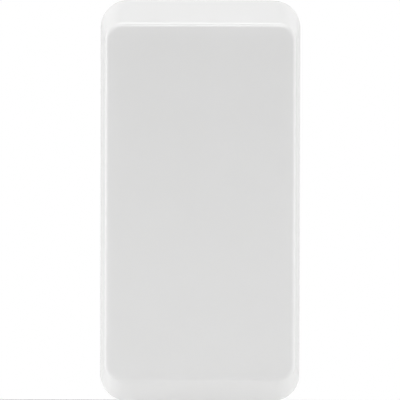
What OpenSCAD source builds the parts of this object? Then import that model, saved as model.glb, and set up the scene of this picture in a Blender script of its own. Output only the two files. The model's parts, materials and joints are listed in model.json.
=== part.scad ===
// One-module two-way rocker wall switch with rising-cage terminals. Millimetres.
// The origin is the centre of the module, on the plane where the flange seats.
// +X is right and +Z is up, seen from the front. +Y runs back into the wall.

/* [Rocker cap] */
// Width of the cap at its widest line
rocker_w = 22.3; // [21.8:0.1:27]
// Height of the cap at its widest line
rocker_h = 44.8; // [44.4:0.1:54]
// How far each end slopes in towards the face
end_slope = 2.48; // [1.6:0.02:3.2]
// How far each long side slopes in towards the face
side_slope = 0.52; // [0.3:0.02:0.9]
// Depth of the slope, from the widest line to the face
slope_depth = 3.7; // [3.2:0.1:4.6]
// Depth of the straight skirt behind the widest line
skirt_depth = 0.6; // [0.4:0.1:0.9]
// Corner radius at the widest line
cap_corner_r = 3.0; // [2.4:0.1:3.8]
// Corner radius of the face
face_corner_r = 1.9; // [1.2:0.1:2.8]
// Rounding where the slope meets the face
face_edge_r = 0.3; // [0.1:0.05:0.5]
// Wall thickness of the cap
cap_wall = 1.5; // [1.2:0.1:1.8]
// Thickness of the face
face_t = 1.8; // [1.4:0.1:2.2]
// Whole angle that the rocker turns through
throw = 6; // [5:0.5:7]
// Gap between the flange and the end that is pressed in
press_gap = 0.3; // [0.2:0.05:0.6]

/* [Rocker carrier] */
// Width of the carrier's plate
carrier_w = 15.5; // [13.5:0.1:16]
// Height of the carrier's plate
carrier_h = 26; // [22:0.5:30]
// Thickness of the carrier's plate
carrier_t = 1.6; // [1.4:0.1:1.8]
// Distance of the pivot in front of the seating plane
pivot_front = 1.0; // [0.9:0.05:1.1]
// Space between the two cheeks
cheek_gap = 11.2; // [9:0.1:11.4]
// Thickness of a cheek
cheek_t = 1.5; // [1.2:0.1:1.8]
// Radius of a trunnion
trunnion_r = 1.6; // [1.2:0.05:2]
// Radius of the spring tube's bore
tube_bore_r = 2.05; // [1.9:0.05:2.5]
// Wall thickness of the spring tube
tube_wall = 1.15; // [0.8:0.05:1.4]
// Distance of the spring tube's mouth behind the seating plane
tube_mouth = 7.0; // [6:0.1:7.4]
// Distance of the cap's hooks from the middle, across the width
hook_x = 3.6; // [3.4:0.1:4]
// Distance of the cap's hooks from the middle, along the height
hook_z = 8.4; // [7.4:0.1:10]

/* [Plunger and spring] */
// Radius of the plunger's round nose
nose_r = 1.5; // [1.2:0.05:1.8]
// Radius of the hole in the plunger that takes the spring
plunger_hole_r = 1.45; // [1.3:0.05:1.6]
// Distance of the plunger's open end behind the seating plane
plunger_start = 2.0; // [1.6:0.1:3]
// Length of the plunger's body
plunger_body = 6.2; // [5.4:0.1:6.6]
// Depth of the spring's hole in the plunger
plunger_hole_d = 5.0; // [4:0.1:5.2]
// Travel of the plunger into the tube
plunger_travel = 1.0; // [0.8:0.1:1.2]
// Wire diameter of the spring
wire_d = 0.4; // [0.3:0.05:0.5]
// Number of turns of the spring
spring_turns = 10; // [7:1:12]

/* [Contacts] */
// Distance of the blade's fulcrum behind the seating plane
blade_y = 12; // [11.8:0.1:12.4]
// Distance of each moving contact from the fulcrum
contact_arm = 10; // [8.3:0.1:10]
// Thickness of the blade
blade_t = 0.8; // [0.6:0.05:1]
// Width of the blade
blade_w = 4.4; // [4:0.1:4.8]
// Radius of the tabs that the blade rocks on
tab_r = 0.5; // [0.4:0.05:0.6]
// Open distance of a contact pair
contact_gap = 3; // [2.6:0.1:3.2]
// Radius of a contact
tip_r = 1.6; // [1.3:0.05:1.7]
// Thickness of a moving contact
tip_t = 0.8; // [0.6:0.05:1]
// Dome radius of a moving contact
dome_r = 4; // [3.5:0.1:6]
// Radius of the shank that rivets a contact on
tip_shank_r = 0.7; // [0.5:0.05:0.8]
// Thickness of a fixed contact
fixed_tip_t = 0.75; // [0.6:0.05:0.9]
// Thickness of the brass strips
strip_t = 1.0; // [0.8:0.05:1.2]
// Thickness of the ears that carry the blade
ear_t = 1.0; // [0.8:0.05:1.1]
// Width of the strips' tongues in the terminals
tongue_w = 4.0; // [3.4:0.1:4.6]

/* [Terminals] */
// Distance of a terminal from the middle, across the width
terminal_x = 5.2; // [5:0.05:5.3]
// Width of a clamp cage
cage_w = 7.0; // [6:0.1:7]
// Height of a clamp cage
cage_h = 5.0; // [4.2:0.1:5.2]
// Thickness of the cage's wall that clamps the conductor
cage_front_t = 1.2; // [1:0.1:1.3]
// Thickness of the cage's threaded wall
cage_rear_t = 2.0; // [1.6:0.1:2.2]
// Thickness of the cage's side walls
cage_side_t = 0.7; // [0.5:0.05:0.8]
// Space for the conductor when the terminal is open
wire_space = 3.5; // [3:0.1:3.7]
// Travel of the cage from open to shut, four turns of an M3 screw
cage_travel = 2.0; // [1.5:0.5:2]
// Radius of a terminal screw's shank
screw_r = 1.5; // [1.25:0.05:1.75]
// Radius of a terminal screw's head
screw_head_r = 2.3; // [2.1:0.05:2.7]
// Height of a terminal screw's head
screw_head_h = 1.7; // [1.3:0.1:1.8]
// Radius of a conductor entry
entry_r = 1.7; // [1.4:0.05:1.8]
// Radius of a driver hole in the cover
driver_r = 2.0; // [1.75:0.05:2.05]

/* [Frame and housing] */
// How far the flange stays inside the cap's outline
flange_reveal = 0.25; // [0.15:0.05:0.5]
// Thickness of the flange
flange_t = 2.0; // [1.8:0.1:2.2]
// Width of the flange's seat above and below the cut-out
seat_land = 1.65; // [1.4:0.05:2]
// Thickness of the support frame that the latches grip
support_t = 2.0; // [1:0.1:3]
// Height of the collar inside the cap
collar_h = 2.2; // [1.6:0.1:2.4]
// Thickness of the collar
collar_t = 1.0; // [0.8:0.05:1.1]
// Height of the flange's opening for the rocker carrier
opening_h = 9.6; // [8.6:0.1:9.8]
// Thickness of a snap latch
latch_t = 0.8; // [0.6:0.05:0.9]
// Width of a snap latch
latch_w = 8.0; // [5:0.5:9]
// Length of a snap latch
latch_len = 8.0; // [7:0.1:8.4]
// How far a latch's barb stands out
latch_barb = 1.0; // [0.6:0.05:1.1]
// Depth of the housing behind the seating plane
housing_d = 25; // [24.8:0.1:28]
// Side wall thickness of the housing
housing_wall = 1.2; // [1:0.05:1.2]
// End wall thickness of the housing
end_wall = 1.6; // [1.4:0.05:1.9]
// Corner radius of the housing
housing_corner_r = 1.0; // [0.5:0.1:1.5]
// Depth of the sunk panel in each side of the housing
panel_d = 0.3; // [0.2:0.05:0.4]
// Margin between the sunk panel and the housing's edges
panel_margin = 3.2; // [2:0.1:5]
// Thickness of the rear cover
cover_t = 1.5; // [1.3:0.1:2.5]
// Height of the raised ring round each driver hole
ring_h = 0.4; // [0.2:0.05:0.6]
// Width of the raised ring round each driver hole
ring_w = 1.1; // [0.8:0.05:1.5]
// Radius of a rivet's shank
rivet_r = 1.2; // [1:0.05:1.25]
// Radius of a rivet's head
rivet_head_r = 1.9; // [1.7:0.05:2]
// Height of a rivet's head
rivet_head_h = 0.5; // [0.4:0.05:0.6]
// Distance of the rivets from the middle, across the width
rivet_x = 6.9; // [6.8:0.05:7]
// Distance of the rivets from the middle, along the height
rivet_z = 7.5; // [7.3:0.05:7.7]

/* [Clearances] */
// Radial clearance of a pin or shank that turns or slides in a hole
run_clear = 0.05; // [0.03:0.01:0.08]
// Clearance beside a flat piece that slides
slide_clear = 0.1; // [0.08:0.01:0.12]
// Clearance between a cheek and its lug
cheek_clear = 0.3; // [0.2:0.05:0.4]
// Gap between contacts, and between plunger and blade, where they bear
bear_gap = 0.02; // [0.02:0.01:0.04]
// Clearance round parts that swing
swing_clear = 0.4; // [0.35:0.05:0.5]

/* [Hidden] */
$fn = 48;
HULL_FN = 32;
// A cut runs this far past the face that it opens
CUT = 0.1;
// Side and end of each terminal: common, line 1 and line 2
WAYS = [[1, 1], [-1, 1], [-1, -1]];

// Rocker, in its middle position
half_throw = throw / 2;
pivot_y = -pivot_front;
cap_rear_y = pivot_y
    - (flange_t + press_gap - pivot_front + rocker_h / 2 * sin(half_throw)) / cos(half_throw);
cap_wide_y = cap_rear_y - skirt_depth;
face_y = cap_wide_y - slope_depth;
ceiling_y = face_y + face_t;
face_w = rocker_w - 2 * side_slope;
face_h = rocker_h - 2 * end_slope;
// Share of the slope that lies behind the ceiling
ceiling_share = (cap_wide_y - ceiling_y) / slope_depth;
ceiling_w = rocker_w - 2 * (ceiling_share * side_slope + cap_wall);
ceiling_h = rocker_h - 2 * (ceiling_share * end_slope + 1.2 * cap_wall);

// Carrier
// Depth of the tube's bore within the plate
bore_sunk = 0.6;
// Wall of a cheek round its trunnion
cheek_rim = 1.0;
plate_rear_y = ceiling_y + carrier_t;
bore_floor_y = plate_rear_y - bore_sunk;
cheek_in = cheek_gap / 2;
cheek_out = cheek_in + cheek_t;
cheek_r = trunnion_r + cheek_rim;
tube_r = tube_bore_r + tube_wall;
hook_w = 3.0;
hook_t = 1.0;
hook_barb = 0.5;
hook_len = carrier_t + 0.95;

// Blade and contacts, with the blade's top end back
blade_tilt = asin(contact_gap / 2 / contact_arm);
nose_y = blade_y - blade_t / 2 - nose_r - 2 * bear_gap;
dome_centre = blade_t / 2 + tip_t - dome_r;
tip_front_y = blade_y + dome_centre * cos(blade_tilt) + contact_arm * sin(blade_tilt)
    + dome_r + bear_gap;
fixed_tip_z = contact_arm * cos(blade_tilt) - dome_centre * sin(blade_tilt);
strip_y = tip_front_y + fixed_tip_t;
strip_rear_y = strip_y + strip_t;
plunger_r = tube_bore_r - run_clear;
plunger_end = plunger_start + plunger_body;
// Gap between the blade's side and an ear
ear_gap = 0.4;
// Front edge of the ears, in front of the fulcrum
ear_lip = 0.8;
spring_start = bore_floor_y + bear_gap;
spring_end = plunger_start + plunger_hole_d - bear_gap;

// Frame and housing
// Step from the flange in to the housing's side
side_step = 0.6;
// Play of the latches in the cut-out
cutout_clear = 0.2;
// Gaps between the collar and the cap, at the sides and at the ends
collar_side_gap = 0.35;
collar_end_gap = 1.5;
// Wall of a lug round its trunnion hole, and of a boss round its rivet
lug_wall = 0.8;
boss_wall = 0.9;
flange_w = rocker_w - 2 * flange_reveal;
flange_h = rocker_h - 2 * flange_reveal;
cutout_h = flange_h - 2 * seat_land;
latch_out = cutout_h / 2 - cutout_clear;
housing_w = flange_w - 2 * side_step;
housing_h = 2 * (latch_out - latch_t);
inner_w = housing_w - 2 * housing_wall;
collar_w = rocker_w - 2 * (cap_wall + collar_side_gap);
collar_len = rocker_h - 2 * (cap_wall + collar_end_gap);
lug_in = cheek_out + cheek_clear;
lug_out = inner_w / 2 - slide_clear;
lug_r = trunnion_r + lug_wall;
chamber_z = contact_arm + tip_r + swing_clear;
boss_r = rivet_r + boss_wall;
sink_r = rivet_head_r + 0.2;
sink_d = rivet_head_h + 0.1;
cover_rear_y = housing_d + cover_t;
ring_rear_y = cover_rear_y + ring_h;

// Terminals
// Space in front of an open cage
cage_room = 0.3;
terminal_z = housing_h / 2 - end_wall - slide_clear - cage_h / 2;
pocket_w = cage_w + 2 * slide_clear;
pocket_h = cage_h + 2 * slide_clear;
cage_front_y = strip_y - wire_space - cage_front_t;
pocket_floor_y = cage_front_y - cage_room;
screw_head_y = housing_d - slide_clear - screw_head_h;
cage_rear_y = screw_head_y - slide_clear - cage_travel;
screw_tip_y = strip_rear_y + 2 * bear_gap;
entry_y = strip_y - wire_space / 2;
tongue_end = terminal_z + cage_h / 2 - 0.1;

// Extrudes a shape drawn across X and Z from y0 back to y1
module along_y(y0, y1) {
    translate([0, y1, 0]) rotate([90, 0, 0]) linear_extrude(y1 - y0) children();
}

// Extrudes a shape drawn across Y and Z from x0 to x1
module along_x(x0, x1) {
    translate([x0, 0, 0]) rotate([90, 0, 90]) linear_extrude(x1 - x0) children();
}

module rod_x(r, x0, x1, y, z) {
    translate([x0, y, z]) rotate([0, 90, 0]) cylinder(r = r, h = x1 - x0);
}

module rod_y(r, y0, y1, x = 0, z = 0, r_end = undef) {
    translate([x, y0, z]) rotate([-90, 0, 0])
        cylinder(r1 = r, r2 = is_undef(r_end) ? r : r_end, h = y1 - y0);
}

module rounded_rect(w, h, r) {
    square([w - 2 * r, h], center = true);
    square([w, h - 2 * r], center = true);
    for (sx = [-1, 1], sz = [-1, 1])
        translate([sx * (w / 2 - r), sz * (h / 2 - r)]) circle(r);
}

// A slice of the cap's outline, for the cap's hulls
module cap_slice(w, h, r, y0, y1) {
    along_y(y0, y1) rounded_rect(w, h, r, $fn = HULL_FN);
}

// Turns a piece drawn in the rocker's middle position to rest, with the bottom pressed in
module at_rest_tilt() {
    translate([0, pivot_y, 0]) rotate([half_throw, 0, 0]) translate([0, -pivot_y, 0]) children();
}

// Puts a piece drawn upright round the blade's fulcrum where the resting blade has it
module on_blade() {
    translate([0, blade_y, 0]) rotate([-blade_tilt, 0, 0]) children();
}

module cap_body() {
    slice = 0.05;
    difference() {
        hull() {
            cap_slice(rocker_w, rocker_h, cap_corner_r, cap_wide_y, cap_rear_y);
            for (a = [0, 30, 60, 90]) {
                inset = face_edge_r * (1 - cos(a));
                y = face_y + face_edge_r * (1 - sin(a));
                cap_slice(face_w - 2 * inset, face_h - 2 * inset, face_corner_r - inset, y, y + slice);
            }
        }
        hull() {
            cap_slice(rocker_w - 2 * cap_wall, rocker_h - 2 * cap_wall, cap_corner_r - 1,
                cap_wide_y, cap_rear_y + CUT);
            cap_slice(ceiling_w, ceiling_h, face_corner_r - 1, ceiling_y, ceiling_y + slice);
        }
    }
}

// Hook that grips the carrier's plate, drawn for the upper end
module cap_hook() {
    back_y = ceiling_y + hook_len;
    catch_y = plate_rear_y + bear_gap;
    along_x(-hook_w / 2, hook_w / 2) polygon([
        [ceiling_y - 0.3, hook_z],
        [ceiling_y - 0.3, hook_z + hook_t],
        [catch_y, hook_z + hook_t],
        [catch_y, hook_z + hook_t + hook_barb],
        [back_y, hook_z + hook_t],
        [back_y, hook_z]
    ]);
}

module rocker_cap() {
    color("#f5f5f3") at_rest_tilt() {
        cap_body();
        for (sx = [-1, 1], end = [0, 1])
            mirror([0, 0, end]) translate([sx * hook_x, 0, 0]) cap_hook();
    }
}

module rocker_carrier() {
    window_w = hook_w + 2 * slide_clear;
    window_in = hook_z - hook_barb - slide_clear;
    window_out = hook_z + hook_t + slide_clear;
    color("#d9d9d4") at_rest_tilt() difference() {
        union() {
            along_y(ceiling_y, plate_rear_y) rounded_rect(carrier_w, carrier_h, 1);
            rod_y(tube_r, plate_rear_y - carrier_t / 2, tube_mouth);
            for (side = [0, 1]) mirror([side, 0, 0]) {
                along_x(cheek_in, cheek_out) {
                    translate([pivot_y, 0]) circle(cheek_r);
                    translate([plate_rear_y - carrier_t / 2, -cheek_r])
                        square([pivot_y - plate_rear_y + carrier_t / 2, 2 * cheek_r]);
                }
                rod_x(trunnion_r, cheek_out - cheek_t / 2, lug_out - slide_clear, pivot_y, 0);
            }
        }
        rod_y(tube_bore_r, bore_floor_y, tube_mouth + CUT);
        for (sx = [-1, 1], end = [0, 1])
            mirror([0, 0, end]) along_y(ceiling_y - CUT, plate_rear_y + CUT)
                translate([sx * hook_x - window_w / 2, window_in])
                    square([window_w, window_out - window_in]);
    }
}

module plunger() {
    shoulder = 0.4;
    color("#e8e4d2") at_rest_tilt() difference() {
        union() {
            rod_y(plunger_r, plunger_start, plunger_end);
            rod_y(plunger_r, plunger_end, plunger_end + shoulder, r_end = nose_r);
            rod_y(nose_r, plunger_end, nose_y);
            translate([0, nose_y, 0]) sphere(nose_r);
        }
        rod_y(plunger_hole_r, plunger_start - CUT, plunger_start + plunger_hole_d);
    }
}

// Height of the wire's centre along the spring after n turns: the end turns lie close
function coil_rise(n, length) =
    let (close = 1.15 * wire_d, open = (length - 2 * close) / (spring_turns - 2))
    n < 1 ? n * close
    : n > spring_turns - 1 ? length - (spring_turns - n) * close
    : close + (n - 1) * open;

module plunger_spring() {
    // Play of the coil in the plunger's hole
    coil_clear = 0.2;
    sides = 8;
    turn_steps = 14;
    steps = turn_steps * spring_turns;
    coil_r = plunger_hole_r - coil_clear - wire_d / 2;
    rise = spring_end - spring_start - wire_d;
    points = [
        for (i = [0 : steps]) let (n = i / turn_steps, a = 360 * n)
            for (k = [0 : sides - 1]) let (b = 360 * k / sides, r = coil_r + wire_d / 2 * cos(b))
                [r * cos(a), spring_start + wire_d / 2 + coil_rise(n, rise) + wire_d / 2 * sin(b),
                    r * sin(a)]
    ];
    walls = [
        for (i = [0 : steps - 1], k = [0 : sides - 1])
            let (a = i * sides + k, b = i * sides + (k + 1) % sides)
                [a, b, b + sides, a + sides]
    ];
    start_cap = [for (k = [0 : sides - 1]) sides - 1 - k];
    end_cap = [for (k = [0 : sides - 1]) steps * sides + k];
    color("#b9bcc0") at_rest_tilt()
        polyhedron(points = points, faces = concat(walls, [start_cap, end_cap]), convexity = 10);
}

module contact_blade() {
    half = contact_arm + tip_r - 0.2;
    // Length of a tab beyond its ear
    tab_out = 0.2;
    color("#c9893f") on_blade() difference() {
        union() {
            along_y(-blade_t / 2, blade_t / 2) rounded_rect(blade_w, 2 * half, 1.2);
            for (side = [0, 1]) mirror([side, 0, 0])
                rod_x(tab_r, blade_w / 2 - tab_r, blade_w / 2 + ear_gap + ear_t + tab_out, 0, 0);
        }
        for (s = [-1, 1]) rod_y(tip_shank_r, -blade_t, blade_t, z = s * contact_arm);
    }
}

// Contact with a domed head behind the blade and a flat upset head in front of it
module moving_contact_tips() {
    color("#d6d8db") on_blade() for (s = [-1, 1]) translate([0, 0, s * contact_arm]) {
        intersection() {
            rod_y(tip_r, blade_t / 2, blade_t / 2 + tip_t);
            translate([0, dome_centre, 0]) sphere(dome_r);
        }
        rod_y(tip_shank_r, -blade_t / 2 - 0.1, blade_t / 2 + 0.1);
        rod_y(tip_shank_r + 0.4, -blade_t / 2 - 0.25, -blade_t / 2);
    }
}

// Strip from the left edge of the contact seat across and up into its terminal
module line_strip() {
    seat = tip_r + 0.1;
    seat_top = chamber_z - slide_clear;
    seat_low = fixed_tip_z - tip_r - 0.3;
    neck_low = rivet_z + boss_r + 0.6;
    left = -terminal_x - tongue_w / 2;
    right = -terminal_x + tongue_w / 2;
    difference() {
        along_y(strip_y, strip_rear_y) polygon([
            [-seat, seat_low],
            [seat, seat_low],
            [seat, seat_top],
            [right, seat_top],
            [right, tongue_end],
            [left, tongue_end],
            [left, neck_low],
            [-seat - (neck_low - seat_low), neck_low]
        ]);
        rod_y(tip_shank_r, strip_y - CUT, strip_rear_y + CUT, z = fixed_tip_z);
    }
}

module line_strip_1() {
    color("#d0a850") line_strip();
}

module line_strip_2() {
    color("#d0a850") mirror([0, 0, 1]) line_strip();
}

module common_strip() {
    ear_in = blade_w / 2 + ear_gap;
    ear_out = ear_in + ear_t;
    ear_half = 1.6;
    plate_half = 2.5;
    right = inner_w / 2 - 0.5;
    arm_left = right - tongue_w + 0.2;
    seat_top = chamber_z - slide_clear;
    tongue_l = terminal_x - tongue_w / 2;
    tongue_r = terminal_x + tongue_w / 2;
    groove_r = tab_r + run_clear;
    color("#d0a850") {
        along_y(strip_y, strip_rear_y) polygon([
            [-ear_out, -plate_half],
            [right, -plate_half],
            [right, seat_top - (right - tongue_r)],
            [tongue_r, seat_top],
            [tongue_r, tongue_end],
            [tongue_l, tongue_end],
            [tongue_l, seat_top],
            [arm_left, seat_top - (arm_left - tongue_l)],
            [arm_left, plate_half],
            [-ear_out, plate_half]
        ]);
        for (side = [0, 1]) mirror([side, 0, 0]) difference() {
            along_x(ear_in, ear_out) translate([blade_y - ear_lip, -ear_half])
                square([strip_y + strip_t / 2 - blade_y + ear_lip, 2 * ear_half]);
            rod_x(groove_r, ear_in - CUT, ear_out + CUT, blade_y, 0);
            translate([ear_in - CUT, blade_y - ear_lip - CUT, -groove_r])
                cube([ear_t + 2 * CUT, ear_lip + CUT, 2 * groove_r]);
        }
    }
}

module fixed_contact_tip() {
    rod_y(tip_r - 0.1, tip_front_y, strip_y, z = fixed_tip_z);
    rod_y(tip_shank_r, strip_y - fixed_tip_t / 2, strip_rear_y, z = fixed_tip_z);
}

module fixed_contact_tip_1() {
    color("#d6d8db") fixed_contact_tip();
}

module fixed_contact_tip_2() {
    color("#d6d8db") mirror([0, 0, 1]) fixed_contact_tip();
}

// Cage round a strip's tongue, open at both ends for the conductor
module clamp_cage(x, z) {
    inside_w = cage_w - 2 * cage_side_t;
    translate([x, 0, z]) difference() {
        translate([-cage_w / 2, cage_front_y, -cage_h / 2])
            cube([cage_w, cage_rear_y - cage_front_y, cage_h]);
        translate([-inside_w / 2, cage_front_y + cage_front_t, -cage_h / 2 - CUT])
            cube([inside_w, cage_rear_y - cage_rear_t - cage_front_y - cage_front_t, cage_h + 2 * CUT]);
        rod_y(screw_r + run_clear, cage_rear_y - cage_rear_t - CUT, cage_rear_y + CUT);
    }
}

module clamp_cage_common() {
    color("#c6c8c4") clamp_cage(terminal_x, terminal_z);
}

module clamp_cage_line_1() {
    color("#c6c8c4") clamp_cage(-terminal_x, terminal_z);
}

module clamp_cage_line_2() {
    color("#c6c8c4") clamp_cage(-terminal_x, -terminal_z);
}

// Captive screw with a cross slot, its tip on the strip
module terminal_screw(x, z) {
    slot_w = 0.7;
    slot_d = 0.9;
    head_end_y = screw_head_y + screw_head_h;
    head_chamfer = 0.25;
    // Taper at the tip, and rim left at the ends of the cross slot
    tip_taper = 0.4;
    slot_rim = 0.4;
    translate([x, 0, z]) difference() {
        union() {
            rod_y(screw_r - tip_taper, screw_tip_y, screw_tip_y + tip_taper, r_end = screw_r);
            rod_y(screw_r, screw_tip_y + tip_taper, screw_head_y);
            rod_y(screw_head_r, screw_head_y, head_end_y - head_chamfer);
            rod_y(screw_head_r, head_end_y - head_chamfer, head_end_y,
                r_end = screw_head_r - head_chamfer);
        }
        for (turn = [0, 90])
            rotate([0, turn, 0]) translate([-screw_head_r + slot_rim, head_end_y - slot_d, -slot_w / 2])
                cube([2 * (screw_head_r - slot_rim), slot_d + CUT, slot_w]);
    }
}

module terminal_screw_common() {
    color("#cfd1d2") terminal_screw(terminal_x, terminal_z);
}

module terminal_screw_line_1() {
    color("#cfd1d2") terminal_screw(-terminal_x, terminal_z);
}

module terminal_screw_line_2() {
    color("#cfd1d2") terminal_screw(-terminal_x, -terminal_z);
}

// Runs its children at both rivets, which lie across a diagonal
module at_rivets() {
    for (s = [-1, 1]) translate([s * rivet_x, 0, -s * rivet_z]) children();
}

// Snap latch with its barb behind the support frame, drawn for the upper end
module snap_latch() {
    low = latch_out - latch_t;
    grip_y = support_t + 0.2;
    tip = latch_out + latch_barb;
    barb_land = 0.7;
    barb_ramp = 2.5;
    along_x(-latch_w / 2, latch_w / 2) polygon([
        [-flange_t / 2, low],
        [-flange_t / 2, latch_out],
        [grip_y, latch_out],
        [grip_y, tip],
        [grip_y + barb_land, tip],
        [grip_y + barb_land + barb_ramp, latch_out],
        [latch_len, latch_out],
        [latch_len, low]
    ]);
}

module front_frame() {
    collar_corner_r = 1.2;
    color("#e6e6e2") difference() {
        union() {
            along_y(-flange_t, 0) rounded_rect(flange_w, flange_h, cap_corner_r - flange_reveal);
            along_y(-flange_t - collar_h, -flange_t / 2) difference() {
                rounded_rect(collar_w, collar_len, collar_corner_r);
                square([collar_w - 2 * collar_t, collar_len - 2 * collar_t], center = true);
            }
            for (side = [0, 1]) mirror([side, 0, 0]) rod_x(lug_r, lug_in, lug_out, pivot_y, 0);
            for (end = [0, 1]) mirror([0, 0, end]) snap_latch();
        }
        along_y(-flange_t - CUT, CUT) square([2 * lug_in, opening_h], center = true);
        for (side = [0, 1]) mirror([side, 0, 0])
            rod_x(trunnion_r + run_clear, lug_in - CUT, lug_out, pivot_y, 0);
        at_rivets() {
            rod_y(rivet_r + run_clear, -flange_t - CUT, CUT);
            rod_y(sink_r, -flange_t - CUT, -flange_t + sink_d);
        }
    }
}

// Boss round a rivet, joined to the housing's side wall
module rivet_boss(side) {
    x = side * rivet_x;
    z = -side * rivet_z;
    wall_x = side * (housing_w / 2 - housing_wall / 2);
    along_y(0, housing_d) {
        translate([x, z]) circle(boss_r);
        translate([min(x, wall_x), z - boss_r]) square([abs(wall_x - x), 2 * boss_r]);
    }
}

// Funnel and round way for a conductor, through the upper end wall
module conductor_entry(x) {
    funnel = 0.5;
    outer_z = housing_h / 2;
    translate([x, entry_y, 0]) {
        translate([0, 0, terminal_z]) cylinder(r = entry_r, h = outer_z - terminal_z + CUT);
        translate([0, 0, outer_z - funnel])
            cylinder(r1 = entry_r, r2 = entry_r + funnel + CUT, h = funnel + CUT);
    }
}

module housing() {
    recess_z = chamber_z + 0.8;
    latch_clear = 0.4;
    latch_room = latch_t + latch_clear;
    // Floor left behind the front recess, and wall left outside it
    recess_floor = 1.2;
    recess_wall = 1.6;
    recess_end = housing_h / 2 - latch_room - recess_wall;
    // Ledge that the common strip's arm bears on
    ledge_w = 1.5;
    ledge_y = lug_r + 0.1;
    ledge_low = -2;
    notch_w = tongue_w + 2 * slide_clear;
    color("#ecece9") difference() {
        union() {
            difference() {
                along_y(0, housing_d) rounded_rect(housing_w, housing_h, housing_corner_r);
                along_y(-CUT, housing_d + CUT) square([inner_w, 2 * chamber_z], center = true);
            }
            for (side = [-1, 1]) rivet_boss(side);
            translate([inner_w / 2 - ledge_w, ledge_y, ledge_low])
                cube([ledge_w + housing_wall / 2, strip_y - ledge_y, chamber_z - ledge_low]);
        }
        for (sx = [-1, 1], end = [0, 1]) mirror([0, 0, end]) {
            translate([sx * terminal_x - pocket_w / 2, pocket_floor_y, terminal_z - pocket_h / 2])
                cube([pocket_w, housing_d, pocket_h]);
        }
        for (way = WAYS) mirror([0, 0, way[1] < 0 ? 1 : 0]) {
            translate([way[0] * terminal_x - notch_w / 2, strip_y, chamber_z - CUT])
                cube([notch_w, housing_d, terminal_z - chamber_z]);
            conductor_entry(way[0] * terminal_x);
        }
        for (end = [0, 1]) mirror([0, 0, end]) {
            translate([-inner_w / 2, -CUT, recess_z])
                cube([inner_w, pocket_floor_y - recess_floor + CUT, recess_end - recess_z]);
            translate([-latch_w / 2 - latch_clear, -CUT, housing_h / 2 - latch_room])
                cube([latch_w + 2 * latch_clear, latch_len + latch_clear + CUT, latch_room + CUT]);
        }
        for (side = [0, 1]) mirror([side, 0, 0])
            along_x(housing_w / 2 - panel_d, housing_w / 2 + CUT) translate([housing_d / 2, 0])
                rounded_rect(housing_d - 2 * panel_margin, housing_h - 2 * panel_margin, 1);
        at_rivets() rod_y(rivet_r + run_clear, -CUT, housing_d + CUT);
    }
}

module rear_cover() {
    post_w = 3.4;
    post_h = 3;
    centre_post_w = 4.8;
    centre_post_h = 4;
    rib_w = tongue_w - 2 * slide_clear;
    funnel = 0.4;
    post_z = fixed_tip_z - 0.1;
    wall_mid = (chamber_z + terminal_z - pocket_h / 2) / 2;
    wall_t = terminal_z - pocket_h / 2 - chamber_z;
    color("#ecece9") difference() {
        union() {
            along_y(housing_d, cover_rear_y) rounded_rect(housing_w, housing_h, housing_corner_r);
            for (way = WAYS)
                rod_y(driver_r + ring_w, cover_rear_y - cover_t / 2, ring_rear_y,
                    way[0] * terminal_x, way[1] * terminal_z);
            along_y(strip_rear_y, housing_d + cover_t / 2) {
                square([centre_post_w, centre_post_h], center = true);
                for (s = [-1, 1]) translate([0, s * post_z]) square([post_w, post_h], center = true);
                for (way = WAYS)
                    translate([way[0] * terminal_x, way[1] * wall_mid])
                        square([rib_w, wall_t], center = true);
            }
        }
        for (way = WAYS) {
            x = way[0] * terminal_x;
            z = way[1] * terminal_z;
            rod_y(driver_r, housing_d - CUT, ring_rear_y + CUT, x, z);
            rod_y(driver_r, ring_rear_y - funnel, ring_rear_y + CUT, x, z,
                r_end = driver_r + funnel + CUT);
        }
        at_rivets() {
            rod_y(rivet_r + run_clear, housing_d - CUT, cover_rear_y + CUT);
            rod_y(sink_r, cover_rear_y - sink_d, cover_rear_y + CUT);
        }
    }
}

// Tubular rivets, both heads sunk flush
module assembly_rivets() {
    bore_r = rivet_r - 0.4;
    front_y = -flange_t + sink_d;
    rear_y = cover_rear_y - sink_d;
    color("#cfd1d2") at_rivets() difference() {
        union() {
            rod_y(rivet_r, front_y - rivet_head_h, rear_y + rivet_head_h);
            rod_y(rivet_head_r, front_y - rivet_head_h, front_y);
            rod_y(rivet_head_r, rear_y, rear_y + rivet_head_h);
        }
        rod_y(bore_r, front_y - rivet_head_h - CUT, rear_y + rivet_head_h + CUT);
    }
}

rocker_cap();
rocker_carrier();
plunger();
plunger_spring();
contact_blade();
moving_contact_tips();
common_strip();
line_strip_1();
line_strip_2();
fixed_contact_tip_1();
fixed_contact_tip_2();
clamp_cage_common();
clamp_cage_line_1();
clamp_cage_line_2();
terminal_screw_common();
terminal_screw_line_1();
terminal_screw_line_2();
front_frame();
housing();
rear_cover();
assembly_rivets();
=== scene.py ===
# Rocker wall switch module: a tilting cap on its carrier, a frame that snaps into a wall plate, and
# a housing with the see-saw contact and three screw terminals. Metres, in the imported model's frame:
# +X right and +Z up as seen from the front, and +Y back into the wall.
import json
import math

import bmesh
import bpy
from mathutils import Matrix, Vector

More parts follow.
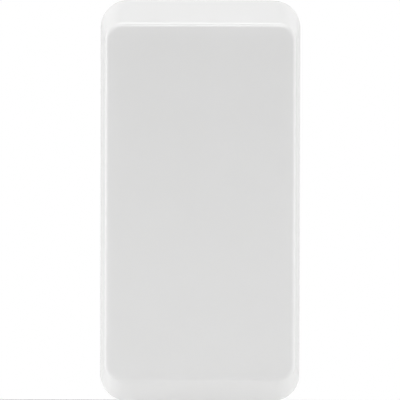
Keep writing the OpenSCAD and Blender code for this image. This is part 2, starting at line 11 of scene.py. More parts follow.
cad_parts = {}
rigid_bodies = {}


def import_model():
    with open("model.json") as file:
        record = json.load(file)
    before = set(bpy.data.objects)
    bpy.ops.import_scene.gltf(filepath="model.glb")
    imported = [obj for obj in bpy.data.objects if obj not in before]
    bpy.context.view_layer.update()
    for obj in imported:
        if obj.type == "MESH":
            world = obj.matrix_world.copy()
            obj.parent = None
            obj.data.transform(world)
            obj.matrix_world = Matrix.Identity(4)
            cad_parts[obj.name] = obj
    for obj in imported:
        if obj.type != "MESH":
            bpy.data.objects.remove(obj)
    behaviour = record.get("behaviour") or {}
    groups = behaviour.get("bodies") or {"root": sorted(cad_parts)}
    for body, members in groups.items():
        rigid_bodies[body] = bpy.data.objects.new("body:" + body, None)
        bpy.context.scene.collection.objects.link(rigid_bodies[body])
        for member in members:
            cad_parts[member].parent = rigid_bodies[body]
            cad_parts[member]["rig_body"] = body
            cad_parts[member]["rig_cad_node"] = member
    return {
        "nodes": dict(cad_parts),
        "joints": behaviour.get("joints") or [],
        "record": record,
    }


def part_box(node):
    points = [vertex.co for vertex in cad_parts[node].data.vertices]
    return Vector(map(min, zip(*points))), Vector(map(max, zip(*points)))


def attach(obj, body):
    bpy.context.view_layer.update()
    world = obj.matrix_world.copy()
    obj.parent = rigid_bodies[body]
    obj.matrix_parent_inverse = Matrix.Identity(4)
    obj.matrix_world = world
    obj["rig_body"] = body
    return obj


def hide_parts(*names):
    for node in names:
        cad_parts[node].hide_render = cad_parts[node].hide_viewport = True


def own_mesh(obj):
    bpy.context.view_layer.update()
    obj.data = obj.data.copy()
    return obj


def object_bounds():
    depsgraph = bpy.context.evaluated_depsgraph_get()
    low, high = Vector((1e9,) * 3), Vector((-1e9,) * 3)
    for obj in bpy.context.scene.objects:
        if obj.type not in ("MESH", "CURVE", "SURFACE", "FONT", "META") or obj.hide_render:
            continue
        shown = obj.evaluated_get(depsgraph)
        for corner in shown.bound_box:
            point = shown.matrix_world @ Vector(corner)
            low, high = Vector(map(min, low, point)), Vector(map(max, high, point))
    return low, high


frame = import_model()
cad_low, cad_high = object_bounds()
mm = 0.001

# Camera: square on to the rocker from nearly a metre, so that its long sides look parallel. The
# view is a little lower than the rocker, whose two ends just run out of it.
camera_distance = 0.95
view_height = 44.7 * mm
camera_roll = math.radians(-0.15)
cap_low, cap_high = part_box("rocker_cap")
cap_middle = (cap_low + cap_high) / 2
aim = cap_middle + Vector((-0.017, 0.9, 0.09)) * mm

camera_data = bpy.data.cameras.new("camera")
camera_data.lens = camera_data.sensor_width * camera_distance / view_height
camera = bpy.data.objects.new("camera", camera_data)
camera.location = aim - Vector((0, camera_distance, 0))
camera.rotation_euler = (math.radians(90), camera_roll, 0)
bpy.context.scene.collection.objects.link(camera)
bpy.context.scene.camera = camera
bpy.context.scene.view_settings.view_transform = "Standard"


# Studio: a white sweep all round that the camera sees as plain white, and that lights the object
# less from the front. Soft boxes stand above, below and at both sides, and two narrow ones in front.
class Value:
    """A number or colour in a node tree. Arithmetic on numbers adds Math nodes."""

    def __init__(self, tree, socket):
        self.tree = tree
        self.socket = socket

    def maths(self, operation, first, second):
        return self.tree.node("ShaderNodeMath", {"operation": operation}, {0: first, 1: second})

    def __add__(self, other):
        return self.maths("ADD", self, other)

    def __mul__(self, other):
        return self.maths("MULTIPLY", self, other)

    __radd__ = __add__
    __rmul__ = __mul__


class Tree:
    """The nodes of one material, or of the world."""

    def __init__(self, owner):
        owner.use_nodes = True
        self.nodes = owner.node_tree.nodes
        self.links = owner.node_tree.links
        self.nodes.clear()

    def socket(self, sockets, key):
        if isinstance(key, int):
            return sockets[key]
        return next(s for s in sockets if s.enabled and s.name == key)

    def node(self, kind, settings=None, inputs=None, output=0):
        """Adds a node: settings, then a value or a link for each input. Returns one output."""
        node = self.nodes.new(kind)
        for name, value in (settings or {}).items():
            setattr(node, name, value)
        for key, value in (inputs or {}).items():
            self.join(value, self.socket(node.inputs, key))
        return Value(self, self.socket(node.outputs, output))

    def join(self, value, socket):
        if isinstance(value, Value):
            self.links.new(value.socket, socket)
        else:
            socket.default_value = value


front_light = 0.2
backdrop_light = 0.75
box_distance = 0.6
bpy.context.scene.world = bpy.data.worlds.new("studio")
sky = Tree(bpy.context.scene.world)
direction = sky.node("ShaderNodeTexCoord", output="Generated")
towards_back = sky.node("ShaderNodeSeparateXYZ", inputs={0: direction}, output="Y")
backdrop = sky.node(
    "ShaderNodeMapRange",
    {"interpolation_type": "SMOOTHSTEP"},
    {"Value": towards_back, "From Min": 0.2, "From Max": 0.9},
)
around = front_light + backdrop * (backdrop_light - front_light)
seen = sky.node("ShaderNodeLightPath", output="Is Camera Ray")
strength = sky.node("ShaderNodeMix", {"data_type": "FLOAT"}, {"Factor": seen, "A": around, "B": 1.0})
shine = sky.node("ShaderNodeBackground", inputs={"Strength": strength, "Color": (1, 1, 1, 1)})
world_output = sky.nodes.new("ShaderNodeOutputWorld")
sky.join(shine, world_output.inputs["Surface"])


def soft_box(name, side, angle, width, height, power):
    """A light panel at this angle from the view line, towards side = (x, z)."""
    out = Vector((side[0], 0, side[1])) * math.sin(angle) - Vector((0, math.cos(angle), 0))
    data = bpy.data.lights.new(name, "AREA")
    data.shape = "RECTANGLE"
    data.size = width
    data.size_y = height
    data.energy = power
    box = bpy.data.objects.new(name, data)
    box.location = cap_middle + out * box_distance
    box.rotation_mode = "QUATERNION"
    box.rotation_quaternion = out.to_track_quat("Z", "Y")
    box.visible_camera = False
    bpy.context.scene.collection.objects.link(box)


soft_box("soft_box_above", (0, 1), math.radians(86), 0.6, 0.25, 1.8)
soft_box("soft_box_left", (-1, 0), math.radians(82), 0.2, 0.6, 1.8)
soft_box("soft_box_right", (1, 0), math.radians(82), 0.2, 0.6, 1.6)
soft_box("soft_box_below", (0, -1), math.radians(78), 0.6, 0.15, 0.2)
soft_box("soft_box_high", (0, 1), math.radians(50), 0.5, 0.06, 1.2)
soft_box("soft_box_low", (0, -1), math.radians(48), 0.5, 0.04, 0.05)


# Rocker cap: a thin shell moulded in white urea and polished, with a face that rolls off softly to
# its edges and four hooks inside that clip it to the carrier. It lies with its bottom pressed in.
tilt = next(joint for joint in frame["joints"] if joint["name"] == "rocker_tilt")
pivot = Vector(tilt["pos_m"])
rest_angle = math.radians(tilt["range_deg"][1] / 2)
to_rest = (
    Matrix.Translation(pivot) @ Matrix.Rotation(rest_angle, 4, "X") @ Matrix.Translation(-pivot)
)
corner_steps = 14
straight_cuts = 14
loops_apart = 5 * mm


def select_loops(piece, numbers, straight=0):
    """Selects the loops with these numbers, in edit mode, or only their edges longer than straight."""
    bpy.ops.mesh.select_all(action="DESELECT")
    mesh = bmesh.from_edit_mesh(piece.data)
    layer = mesh.verts.layers.int["loop"]
    for vertex in mesh.verts:
        longest = max(edge.calc_length() for edge in vertex.link_edges)
        vertex.select = vertex[layer] in numbers and longest > straight
    mesh.select_flush(True)
    bmesh.update_edit_mesh(piece.data)


def number_selected(piece, number):
    mesh = bmesh.from_edit_mesh(piece.data)
    layer = mesh.verts.layers.int.get("loop") or mesh.verts.layers.int.new("loop")
    for vertex in mesh.verts:
        if vertex.select:
            vertex[layer] = number
    bmesh.update_edit_mesh(piece.data)


def loft(name, loops):
    """A closed skin over rounded rectangles across X and Z, each (width, height, corner, y, fillet).

    They are joined while they stand apart, because loops in one plane would join up crosswise."""
    bpy.ops.object.select_all(action="DESELECT")
    bpy.ops.object.add(type="MESH", enter_editmode=True)
    piece = bpy.context.object
    piece.name = piece.data.name = name
    for number, (width, height, corner, y, fillet) in enumerate(loops, 1):
        bpy.ops.mesh.select_all(action="DESELECT")
        place = (0, y + number * loops_apart, 0)
        bpy.ops.mesh.primitive_plane_add(size=1, location=place, rotation=(math.pi / 2, 0, 0))
        bpy.ops.transform.resize(value=(width, 1, height), center_override=place)
        bpy.ops.mesh.bevel(affect="VERTICES", offset=corner, segments=corner_steps)
        number_selected(piece, number)
        bpy.ops.mesh.delete(type="ONLY_FACE")
        select_loops(piece, (number,), straight=2 * corner)
        bpy.ops.mesh.subdivide(number_cuts=straight_cuts)
        if number > 1:
            select_loops(piece, (number - 1, number))
            bpy.ops.mesh.bridge_edge_loops()
    for number in (1, len(loops)):
        select_loops(piece, (number,))
        bpy.ops.mesh.edge_face_add()
    for number in range(1, len(loops) + 1):
        select_loops(piece, (number,))
        bpy.ops.transform.translate(value=(0, -number * loops_apart, 0))
    bpy.ops.mesh.select_all(action="SELECT")
    bpy.ops.mesh.normals_make_consistent(inside=False)
    bpy.ops.mesh.select_mode(type="EDGE")
    for number, (width, height, corner, y, fillet) in enumerate(loops, 1):
        if fillet:
            select_loops(piece, (number,))
            bpy.ops.mesh.bevel(affect="EDGES", offset=fillet, segments=5)
    bpy.ops.mesh.select_mode(type="VERT")
    bpy.ops.object.mode_set(mode="OBJECT")
    piece.data.attributes.remove(piece.data.attributes["loop"])
    return piece


hook_width = 3 * mm
hook_reach = 1 * mm
hook_barb = 0.5 * mm
hook_side = 3.6 * mm
hook_from_middle = 8.4 * mm
hook_catch_y = -4.356 * mm
hook_back_y = -3.426 * mm
edge_angle = math.radians(35)


def trace(name, points):
    """Starts a piece as a chain of edges through points (x, y) at z = 0, and stays in edit mode."""
    bpy.ops.object.select_all(action="DESELECT")
    bpy.ops.object.add(type="MESH", enter_editmode=True)
    piece = bpy.context.object
    piece.name = piece.data.name = name
    bpy.ops.mesh.primitive_plane_add(size=mm, location=(*points[0], 0))
    bpy.ops.mesh.merge(type="CENTER")
    for start, end in zip(points, points[1:]):
        step = Vector((*end, 0)) - Vector((*start, 0))
        bpy.ops.mesh.extrude_region_move(TRANSFORM_OT_translate={"value": step})
    return piece


def close_up():
    """Merges the doubles of the mesh in edit mode, turns its faces outwards and leaves edit mode."""
    bpy.ops.mesh.select_all(action="SELECT")
    bpy.ops.mesh.remove_doubles(threshold=0.001 * mm)
    bpy.ops.mesh.normals_make_consistent(inside=False)
    bpy.ops.object.mode_set(mode="OBJECT")


def put(piece, matrix):
    """Moves the piece by this matrix, and leaves its origin where it was."""
    bpy.ops.object.select_all(action="DESELECT")
    piece.select_set(True)
    bpy.context.view_layer.objects.active = piece
    piece.matrix_world = matrix
    bpy.ops.object.transform_apply(location=True, rotation=True, scale=True)


def modify(piece, kind, **settings):
    """Adds a modifier with these settings and applies it."""
    bpy.ops.object.select_all(action="DESELECT")
    piece.select_set(True)
    bpy.context.view_layer.objects.active = piece
    bpy.ops.object.modifier_add(type=kind)
    modifier = piece.modifiers[-1]
    for key, value in settings.items():
        setattr(modifier, key, value)
    bpy.ops.object.modifier_apply(modifier=modifier.name)


def combine(piece, tool, operation):
    """Adds the tool to the piece, cuts it away or keeps what both share, and deletes the tool."""
    modify(piece, "BOOLEAN", operation=operation, solver="EXACT", object=tool)
    bpy.data.objects.remove(tool)


def round_edges(piece, width, segments=3):
    """Rounds every edge sharper than the edge angle, and shades the piece smooth up to it."""
    modify(
        piece,
        "BEVEL",
        width=width,
        segments=segments,
        limit_method="ANGLE",
        angle_limit=edge_angle,
        use_clamp_overlap=False,
    )
    bpy.ops.object.shade_smooth_by_angle(angle=edge_angle)
    modify(piece, "WEIGHTED_NORMAL", keep_sharp=True)


cap_width = cap_high.x - cap_low.x
cap_length = 44.8 * mm
cap_face_y = -7.776 * mm
cap_slope = 3.7 * mm
cap_skirt = 0.6 * mm
cap_wall = 1.5 * mm
cap_corner = 3 * mm
cap_inner_corner = 2 * mm
rim_round = 0.1 * mm
ceiling_y = cap_face_y + 1.8 * mm
ceiling_width = 18.8 * mm
ceiling_length = 39.2 * mm
ceiling_corner = 0.9 * mm
ceiling_fillet = 0.3 * mm
face_width = 21.2 * mm
face_length = 39.7 * mm
face_corner = 1.9 * mm
face_fillet = 0.35 * mm
roll_off = 2.6 * mm
roll_drop = 0.2 * mm
roll_power = 2.6
roll_shares = (0, 0.17, 0.26, 0.36, 0.48, 0.62, 0.8, 1)
wide_y = cap_face_y + cap_slope
rear_y = wide_y + cap_skirt
inner_width = cap_width - 2 * cap_wall
inner_length = cap_length - 2 * cap_wall
loops = [
    (ceiling_width, ceiling_length, ceiling_corner, ceiling_y, ceiling_fillet),
    (inner_width, inner_length, cap_inner_corner, wide_y, 0),
    (inner_width, inner_length, cap_inner_corner, rear_y, rim_round),
    (cap_width, cap_length, cap_corner, rear_y, rim_round),
    (cap_width, cap_length, cap_corner, wide_y, rim_round),
]
for share in roll_shares:
    inset = share * roll_off
    loops.append(
        (
            face_width - 2 * inset,
            face_length - 2 * inset,
            face_corner - 0.5 * inset,
            cap_face_y + roll_drop * (1 - share) ** roll_power,
            face_fillet if share == 0 else 0,
        )
    )
cap = loft("cap_shell", loops)
hook_root_y = ceiling_y - 0.3 * mm
for side in (-1, 1):
    for end in (-1, 1):
        hook = trace(
            "cap_hook",
            [
                (0, hook_root_y),
                (hook_reach, hook_root_y),
                (hook_reach, hook_catch_y),
                (hook_reach + hook_barb, hook_catch_y),
                (hook_reach, hook_back_y),
                (0, hook_back_y),
            ],
        )
        bpy.ops.mesh.select_all(action="SELECT")
        bpy.ops.mesh.edge_face_add()
        bpy.ops.mesh.extrude_region_move(TRANSFORM_OT_translate={"value": (0, 0, hook_width)})
        close_up()
        place = Matrix.Translation((side * hook_side, 0, end * hook_from_middle))
        turn = Matrix.Rotation(-end * math.pi / 2, 4, "Y")
        put(hook, place @ turn @ Matrix.Translation((0, 0, -hook_width / 2)))
        combine(cap, hook, "UNION")
put(cap, to_rest)
bpy.ops.object.shade_smooth_by_angle(angle=edge_angle)
modify(cap, "WEIGHTED_NORMAL", keep_sharp=True)


class Finish(Tree):
    """A material built round one Principled shader, whose fixed sockets are given first."""

    def __init__(self, name, fixed):
        self.material = bpy.data.materials.new(name)
        super().__init__(self.material)
        self.shader = self.nodes.new("ShaderNodeBsdfPrincipled")
        output = self.nodes.new("ShaderNodeOutputMaterial")
        self.links.new(self.shader.outputs["BSDF"], output.inputs["Surface"])
        for key, value in fixed.items():
            self.shader.inputs[key].default_value = value

    def drive(self, **values):
        """Links a value to each socket, whose name is written with _ for its spaces."""
        for name, value in values.items():
            self.join(value, self.shader.inputs[name.replace("_", " ")])

    def noise(self, size, detail=3, stretch=(1, 1, 1)):
        """Noise whose blobs are about this size, in metres, drawn out along an axis by stretch."""
        place = self.node("ShaderNodeTexCoord", output="Object")
        scale = [1 / (size * along) for along in stretch]
        spread = self.node("ShaderNodeMapping", inputs={"Vector": place, "Scale": scale})
        inputs = {"Vector": spread, "Scale": 1.0, "Detail": detail}
        return self.node("ShaderNodeTexNoise", inputs=inputs, output="Fac")

    def blend(self, factor, first, second):
        inputs = {"Factor": factor, "A": (*first, 1), "B": (*second, 1)}
        return self.node("ShaderNodeMix", {"data_type": "RGBA"}, inputs, output="Result")

    def bump(self, height, depth):
        """The surface normal over a height from 0 to 1 that stands for this depth in metres."""
        inputs = {"Height": height, "Distance": depth, "Strength": 1.0}
        return self.node("ShaderNodeBump", inputs=inputs)

    def wear(self, *pieces):
        for piece in pieces:
            piece.data.materials.clear()
            piece.data.materials.append(self.material)


white_gloss = Finish("polished_white_urea", {"IOR": 1.5, "Specular IOR Level": 0.5})
flow = white_gloss.noise(6 * mm, detail=2)
peel = white_gloss.noise(0.9 * mm, detail=2)
white_gloss.drive(
    Base_Color=white_gloss.blend(flow, (0.83, 0.83, 0.825), (0.85, 0.85, 0.848)),
    Roughness=0.13 + 0.05 * flow,
    Normal=white_gloss.bump(peel, 0.001 * mm),
)
white_gloss.wear(cap)
record = frame["record"]
body_of = {node: body for body, nodes in record["behaviour"]["bodies"].items() for node in nodes}


def fit(piece, node):
    """Lets the piece stand for this CAD node on its body, and hides the node."""
    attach(piece, body_of[node])
    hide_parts(node)


fit(cap, "rocker_cap")


# Rocker carrier: grey polycarbonate, moulded in one with its trunnions and the tube that guides the
# plunger. The cap's hooks grip it through four windows.
def finished_copy(node, edge, segments=3):
    """A copy of the CAD node with its facets joined up and its edges rounded by this much."""
    piece = frame["nodes"][node].copy()
    piece.data = piece.data.copy()
    piece.name = piece.data.name = node + "_finished"
    piece.parent = None
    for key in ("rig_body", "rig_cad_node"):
        del piece[key]
    bpy.context.scene.collection.objects.link(piece)
    put(piece, Matrix())
    bpy.ops.object.mode_set(mode="EDIT")
    bpy.ops.mesh.select_all(action="SELECT")
    bpy.ops.mesh.remove_doubles(threshold=0.001 * mm)
    bpy.ops.mesh.dissolve_limited(angle_limit=math.radians(0.5))
    bpy.ops.object.mode_set(mode="OBJECT")
    round_edges(piece, edge, segments)
    return piece


carrier = finished_copy("rocker_carrier", 0.12 * mm)
carrier_plastic = Finish("grey_polycarbonate", {"IOR": 1.58})
haze = carrier_plastic.noise(4 * mm, detail=2)
grain = carrier_plastic.noise(0.14 * mm, detail=2)
carrier_plastic.drive(
    Base_Color=carrier_plastic.blend(haze, (0.54, 0.54, 0.5), (0.59, 0.59, 0.55)),
    Roughness=0.36 + 0.16 * grain,
    Normal=carrier_plastic.bump(grain, 0.006 * mm),
)
carrier_plastic.wear(carrier)
fit(carrier, "rocker_carrier")


# Plunger: moulded nylon pin with a round nose that slides along the blade, and a blind hole for the
# spring. It runs in the carrier's tube.
def turned(name, points, steps=64):
    """A closed solid of revolution about the Y axis through these points (radius, y)."""
    piece = trace(name, points)
    bpy.ops.mesh.select_all(action="SELECT")
    bpy.ops.mesh.spin(
        steps=steps, angle=2 * math.pi, center=(0, 0, 0), axis=(0, 1, 0), use_auto_merge=True
    )
    close_up()
    return piece


def arc(middle, radius, start, end, steps):
    """Points (x, y) along an arc about middle, from one angle to the other, in degrees."""
    x, y = middle
    points = []
    for number in range(steps + 1):
        angle = math.radians(start + (end - start) * number / steps)
        points.append((x + radius * math.cos(angle), y + radius * math.sin(angle)))
    return points


plunger_radius = 2 * mm
plunger_mouth_y = 2 * mm
plunger_shoulder_y = 8.2 * mm
plunger_taper = 0.4 * mm
plunger_hole = 1.45 * mm
plunger_hole_floor_y = 7 * mm
nose_radius = 1.5 * mm
nose_middle_y = 10.06 * mm
lip = 0.12 * mm
plunger = turned(
    "plunger_nylon_pin",
    [
        (0, plunger_hole_floor_y),
        (plunger_hole - lip, plunger_hole_floor_y),
        (plunger_hole, plunger_hole_floor_y - lip),
        (plunger_hole, plunger_mouth_y + lip),
        (plunger_hole + lip, plunger_mouth_y),
        *arc((plunger_radius - lip, plunger_mouth_y + lip), lip, -90, 0, 4),
        *arc((plunger_radius - lip, plunger_shoulder_y - lip / 2), lip, 0, 40, 3),
        (nose_radius, plunger_shoulder_y + plunger_taper),
        *arc((0, nose_middle_y), nose_radius, 0, 90, 14),
    ],
)
put(plunger, to_rest)
bpy.ops.object.shade_smooth_by_angle(angle=edge_angle)
nylon = Finish("natural_nylon", {"IOR": 1.53, "Subsurface Weight": 0.15, "Subsurface Scale": 0.4 * mm})
cloud = nylon.noise(2.5 * mm, detail=2)
skin = nylon.noise(0.2 * mm, detail=2)
nylon.drive(
    Base_Color=nylon.blend(cloud, (0.7, 0.65, 0.5), (0.76, 0.72, 0.59)),
    Roughness=0.38 + 0.1 * skin,
    Normal=nylon.bump(skin, 0.004 * mm),
)
nylon.wear(plunger)
fit(plunger, "plunger")


# Plunger spring: ten turns of bright drawn wire, with its end turns closed. It sits between the
# carrier and the plunger; the real spring shortens as the plunger is pushed in, but this coil is built
# at one length.
wire = 0.4 * mm
coil_radius = 1.05 * mm
coil_turns = 10
coil_start_y = -4.956 * mm
coil_end_y = 6.98 * mm
close_pitch = 1.15 * wire
turn_steps = 28
coil_rise = coil_end_y - coil_start_y - wire
open_pitch = (coil_rise - 2 * close_pitch) / (coil_turns - 2)
coil = bpy.data.curves.new("plunger_spring_wire", "CURVE")
coil.dimensions = "3D"
coil.bevel_depth = wire / 2
coil.bevel_resolution = 4
coil.use_fill_caps = True
winding = coil.splines.new("POLY")
winding.points.add(coil_turns * turn_steps)
for number, point in enumerate(winding.points):
    turns = number / turn_steps
    open_turns = min(max(turns - 1, 0), coil_turns - 2)
    rise = (turns - open_turns) * close_pitch + open_turns * open_pitch
    angle = 2 * math.pi * turns
    along = coil_start_y + wire / 2 + rise
    point.co = (coil_radius * math.cos(angle), along, coil_radius * math.sin(angle), 1)
spring = bpy.data.objects.new("plunger_spring_wire", coil)
bpy.context.scene.collection.objects.link(spring)
bpy.ops.object.select_all(action="DESELECT")
spring.select_set(True)
bpy.context.view_layer.objects.active = spring
bpy.ops.object.convert(target="MESH")
bpy.ops.object.mode_set(mode="EDIT")
close_up()
put(spring, to_rest)
bpy.ops.object.shade_smooth_by_angle(angle=edge_angle)
spring_steel = Finish("drawn_spring_wire", {"Metallic": 1.0})
tarnish = spring_steel.noise(1.2 * mm)
scratch = spring_steel.noise(0.08 * mm, detail=2, stretch=(1, 0.5, 1))
spring_steel.drive(
    Base_Color=spring_steel.blend(tarnish, (0.42, 0.43, 0.45), (0.56, 0.57, 0.59)),
    Roughness=0.24 + 0.14 * scratch,
    Normal=spring_steel.bump(scratch, 0.003 * mm),
)
spring_steel.wear(spring)
fit(spring, "plunger_spring")
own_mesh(spring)


# Front frame: white moulding with the flange that seats on the support frame, a collar inside the
# cap, lugs for the carrier's trunnions and a snap latch at each end.
front_frame = finished_copy("front_frame", 0.12 * mm)
frame_plastic = Finish("white_satin_moulding", {"IOR": 1.5})
swirl = frame_plastic.noise(7 * mm, detail=3)
fine = frame_plastic.noise(0.16 * mm, detail=2)
frame_plastic.drive(
    Base_Color=frame_plastic.blend(swirl, (0.69, 0.69, 0.67), (0.74, 0.74, 0.725)),
    Roughness=0.3 + 0.14 * fine,
    Normal=frame_plastic.bump(fine, 0.005 * mm),
)
frame_plastic.wear(front_frame)
fit(front_frame, "front_frame")


# Housing and rear cover: off-white thermoset mouldings with a spark-eroded surface. The cover closes
# the contact chamber and has a rimmed driver hole over each screw.
housing = finished_copy("housing", 0.15 * mm)
cover = finished_copy("rear_cover", 0.12 * mm)
thermoset = Finish("spark_eroded_thermoset", {"IOR": 1.55})
mottle = thermoset.noise(5 * mm, detail=4)
fleck = thermoset.noise(0.35 * mm, detail=3)
pits = thermoset.noise(0.09 * mm, detail=3)
body_colour = thermoset.blend(mottle, (0.62, 0.61, 0.575), (0.68, 0.675, 0.645))
specks = thermoset.node(
    "ShaderNodeMapRange", {}, {"Value": fleck, "From Min": 0.62, "From Max": 0.7, "To Max": 0.35}
)
thermoset.drive(
    Base_Color=thermoset.node(
        "ShaderNodeMix",
        {"data_type": "RGBA"},
        {"Factor": specks, "A": body_colour, "B": (0.5, 0.48, 0.43, 1)},
        output="Result",
    ),
    Roughness=0.5 + 0.2 * pits,
    Normal=thermoset.bump(pits, 0.012 * mm),
)
thermoset.wear(housing, cover)
fit(housing, "housing")
fit(cover, "rear_cover")


# Assembly rivets: two nickel-plated tubular rivets, through the frame, housing and cover, with both
# ends rolled over and sunk.
rivet_places = ((6.9 * mm, -7.5 * mm), (-6.9 * mm, 7.5 * mm))
rivet_radius = 1.2 * mm
rivet_bore = 0.8 * mm
rivet_head = 1.9 * mm
rivet_front_y = -1.9 * mm
rivet_rear_y = 26.4 * mm
roll_radius = 0.25 * mm
roll_middle = rivet_head - roll_radius
bore_flare = 0.3 * mm


def rolled_end(face_y, inwards):
    """Points of one rolled head, from the shank out round its edge and back into the bore."""
    under_y = face_y + inwards * 2 * roll_radius
    turn = -90 * inwards
    return [
        (rivet_radius, under_y),
        *arc((roll_middle, face_y + inwards * roll_radius), roll_radius, -turn, turn, 8),
        *arc((rivet_bore + bore_flare, face_y + inwards * bore_flare), bore_flare, turn, 2 * turn, 5),
    ]


front_end = rolled_end(rivet_front_y, 1)
rear_end = rolled_end(rivet_rear_y, -1)
rivet = turned("assembly_rivets_rolled", front_end + rear_end[::-1] + front_end[:1])
other_rivet = rivet.copy()
other_rivet.data = rivet.data.copy()
bpy.context.scene.collection.objects.link(other_rivet)
for piece, (x, z) in zip((other_rivet, rivet), rivet_places):
    put(piece, Matrix.Translation((x, 0, z)))
other_rivet.select_set(True)
bpy.ops.object.join()
bpy.ops.object.shade_smooth_by_angle(angle=edge_angle)
nickel = Finish("nickel_plate", {"Metallic": 1.0})
bloom = nickel.noise(0.8 * mm)
rub = nickel.noise(0.1 * mm, detail=2)
nickel.drive(
    Base_Color=nickel.blend(bloom, (0.58, 0.56, 0.52), (0.68, 0.66, 0.62)),
    Roughness=0.2 + 0.2 * rub,
    Normal=nickel.bump(rub, 0.003 * mm),
)
nickel.wear(rivet)
fit(rivet, "assembly_rivets")


# Contact blade and its tips: a see-saw of rolled copper alloy with a silver contact riveted on at
# each end. It rocks on two tabs in the common strip's ears.
blade = finished_copy("contact_blade", 0.07 * mm)
copper = Finish("rolled_copper_alloy", {"Metallic": 1.0})
patina = copper.noise(1.6 * mm)
rolling = copper.noise(0.07 * mm, detail=2, stretch=(1, 1, 14))
copper.drive(
    Base_Color=copper.blend(patina, (0.6, 0.29, 0.15), (0.72, 0.39, 0.22)),
    Roughness=0.24 + 0.2 * rolling,
    Normal=copper.bump(rolling, 0.003 * mm),
)
copper.wear(blade)
fit(blade, "contact_blade")

silver = Finish("silver_alloy", {"Metallic": 1.0})
dulling = silver.noise(0.6 * mm)
peening = silver.noise(0.12 * mm, detail=2)
silver.drive(
    Base_Color=silver.blend(dulling, (0.7, 0.69, 0.66), (0.84, 0.83, 0.81)),
    Roughness=0.26 + 0.16 * peening,
    Normal=silver.bump(peening, 0.004 * mm),
)
for node in ("moving_contact_tips", "fixed_contact_tip_1", "fixed_contact_tip_2"):
    tip = finished_copy(node, 0.05 * mm)
    silver.wear(tip)
    fit(tip, node)


# Brass strips: stamped flat, the common one with two ears for the blade, and each with a tongue
# that reaches into its terminal.
brass = Finish("stamped_brass", {"Metallic": 1.0})
stain = brass.noise(2 * mm)
brushing = brass.noise(0.08 * mm, detail=2, stretch=(1, 1, 12))
brass.drive(
    Base_Color=brass.blend(stain, (0.66, 0.46, 0.17), (0.78, 0.58, 0.27)),
    Roughness=0.22 + 0.2 * brushing,
    Normal=brass.bump(brushing, 0.003 * mm),
)
for node in ("common_strip", "line_strip_1", "line_strip_2"):
    strip = finished_copy(node, 0.08 * mm)
    brass.wear(strip)
    fit(strip, node)


# Clamp cages: zinc-plated steel, folded round the tongue and tapped for the screw, which draws them
# back to clamp the conductor.
zinc = Finish("bright_zinc_plate", {"Metallic": 1.0})
spangle = zinc.noise(1.1 * mm)
milky = zinc.noise(0.15 * mm, detail=2)
zinc.drive(
    Base_Color=zinc.blend(spangle, (0.54, 0.56, 0.6), (0.7, 0.71, 0.72)),
    Roughness=0.26 + 0.2 * milky,
    Normal=zinc.bump(milky, 0.004 * mm),
)
for terminal in ("common", "line_1", "line_2"):
    cage = finished_copy("clamp_cage_" + terminal, 0.2 * mm)
    zinc.wear(cage)
    fit(cage, "clamp_cage_" + terminal)


# Terminal screws: captive M3 screws in zinc-plated steel, with a cheese head and a cross slot. One
# is made, and copied to each terminal.
screw_places = {
    "common": (5.2 * mm, 15.3 * mm),
    "line_1": (-5.2 * mm, 15.3 * mm),
    "line_2": (-5.2 * mm, -15.3 * mm),
}
thread_radius = 1.5 * mm
thread_root = 1.23 * mm
thread_pitch = 0.5 * mm
tip_y = 16.542 * mm
tip_taper = 0.4 * mm
head_y = 23.2 * mm
head_top_y = 24.9 * mm
head_radius = 2.3 * mm
head_round = 0.25 * mm
under_round = 0.08 * mm
slot_width = 0.7 * mm
slot_depth = 0.9 * mm
slot_length = 3.8 * mm
thread_turns = math.ceil((head_y - tip_y) / thread_pitch) + 2
root_start, crest_start, crest_end, root_end = 0.1, 0.46, 0.6, 0.96
thread_in_head = 0.2 * mm
point_spare = 0.1 * mm
thread_edge_angle = math.radians(25)

thread = trace(
    "terminal_screw_thread",
    [
        (thread_root, 0),
        (thread_root, root_start * thread_pitch),
        (thread_radius, crest_start * thread_pitch),
        (thread_radius, crest_end * thread_pitch),
        (thread_root, root_end * thread_pitch),
        (thread_root, thread_pitch),
    ],
)
bpy.ops.object.mode_set(mode="OBJECT")
modify(
    thread,
    "SCREW",
    axis="Y",
    angle=2 * math.pi,
    screw_offset=thread_pitch,
    iterations=thread_turns,
    steps=36,
    render_steps=36,
    use_merge_vertices=True,
    merge_threshold=0.001 * mm,
)
bpy.ops.object.mode_set(mode="EDIT")
bpy.ops.mesh.select_all(action="SELECT")
bpy.ops.mesh.remove_doubles(threshold=0.001 * mm)
bpy.ops.transform.translate(value=(0, tip_y - thread_pitch, 0))
for cut_y, inner in ((tip_y, True), (head_y + thread_in_head, False)):
    bpy.ops.mesh.select_all(action="SELECT")
    bpy.ops.mesh.bisect(
        plane_co=(0, cut_y, 0),
        plane_no=(0, 1, 0),
        use_fill=True,
        threshold=0.0001 * mm,
        clear_inner=inner,
        clear_outer=not inner,
    )
close_up()
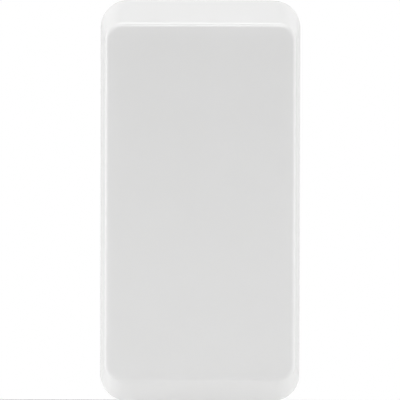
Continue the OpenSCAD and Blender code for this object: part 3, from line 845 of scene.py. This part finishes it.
point = turned(
    "thread_point",
    [
        (0, tip_y),
        (thread_radius - tip_taper, tip_y),
        (thread_radius + point_spare, tip_y + tip_taper + point_spare),
        (thread_radius + point_spare, head_y + mm),
        (0, head_y + mm),
    ],
)
combine(thread, point, "INTERSECT")

screw = turned(
    "terminal_screw",
    [
        (0, head_y),
        *arc((head_radius - under_round, head_y + under_round), under_round, -90, 0, 3),
        *arc((head_radius - head_round, head_top_y - head_round), head_round, 0, 90, 5),
        (0, head_top_y),
    ],
)
for turn in (0, math.pi / 2):
    bpy.ops.object.select_all(action="DESELECT")
    bpy.ops.mesh.primitive_cube_add(size=1)
    cutter = bpy.context.object
    size = Matrix.Diagonal((slot_length, 2 * slot_depth, slot_width, 1))
    put(cutter, Matrix.Translation((0, head_top_y, 0)) @ Matrix.Rotation(turn, 4, "Y") @ size)
    combine(screw, cutter, "DIFFERENCE")
round_edges(screw, 0.05 * mm, segments=2)
bpy.ops.object.select_all(action="DESELECT")
thread.select_set(True)
bpy.context.view_layer.objects.active = thread
bpy.ops.object.shade_smooth_by_angle(angle=thread_edge_angle)
screw.select_set(True)
bpy.context.view_layer.objects.active = screw
bpy.ops.object.join()
zinc.wear(screw)
for terminal, (x, z) in screw_places.items():
    copy = screw.copy()
    copy.data = screw.data.copy()
    copy.name = copy.data.name = "terminal_screw_" + terminal + "_threaded"
    bpy.context.scene.collection.objects.link(copy)
    put(copy, Matrix.Translation((x, 0, z)))
    fit(copy, "terminal_screw_" + terminal)
bpy.data.objects.remove(screw)


# Floor: a plain pale table under the module. From the front only its far edge comes into view, as a
# thin line in the lower left corner.
floor_gap = 7 * mm
floor_radius = 0.3
bpy.ops.object.select_all(action="DESELECT")
bpy.ops.mesh.primitive_circle_add(
    vertices=128, radius=floor_radius, fill_type="NGON", location=(0, 0, cad_low.z - floor_gap)
)
floor = bpy.context.object
floor.name = "floor"
pale = Finish("pale_table", {"Roughness": 0.7, "Base Color": (0.82, 0.82, 0.82, 1)})
pale.wear(floor)
floor.visible_shadow = False
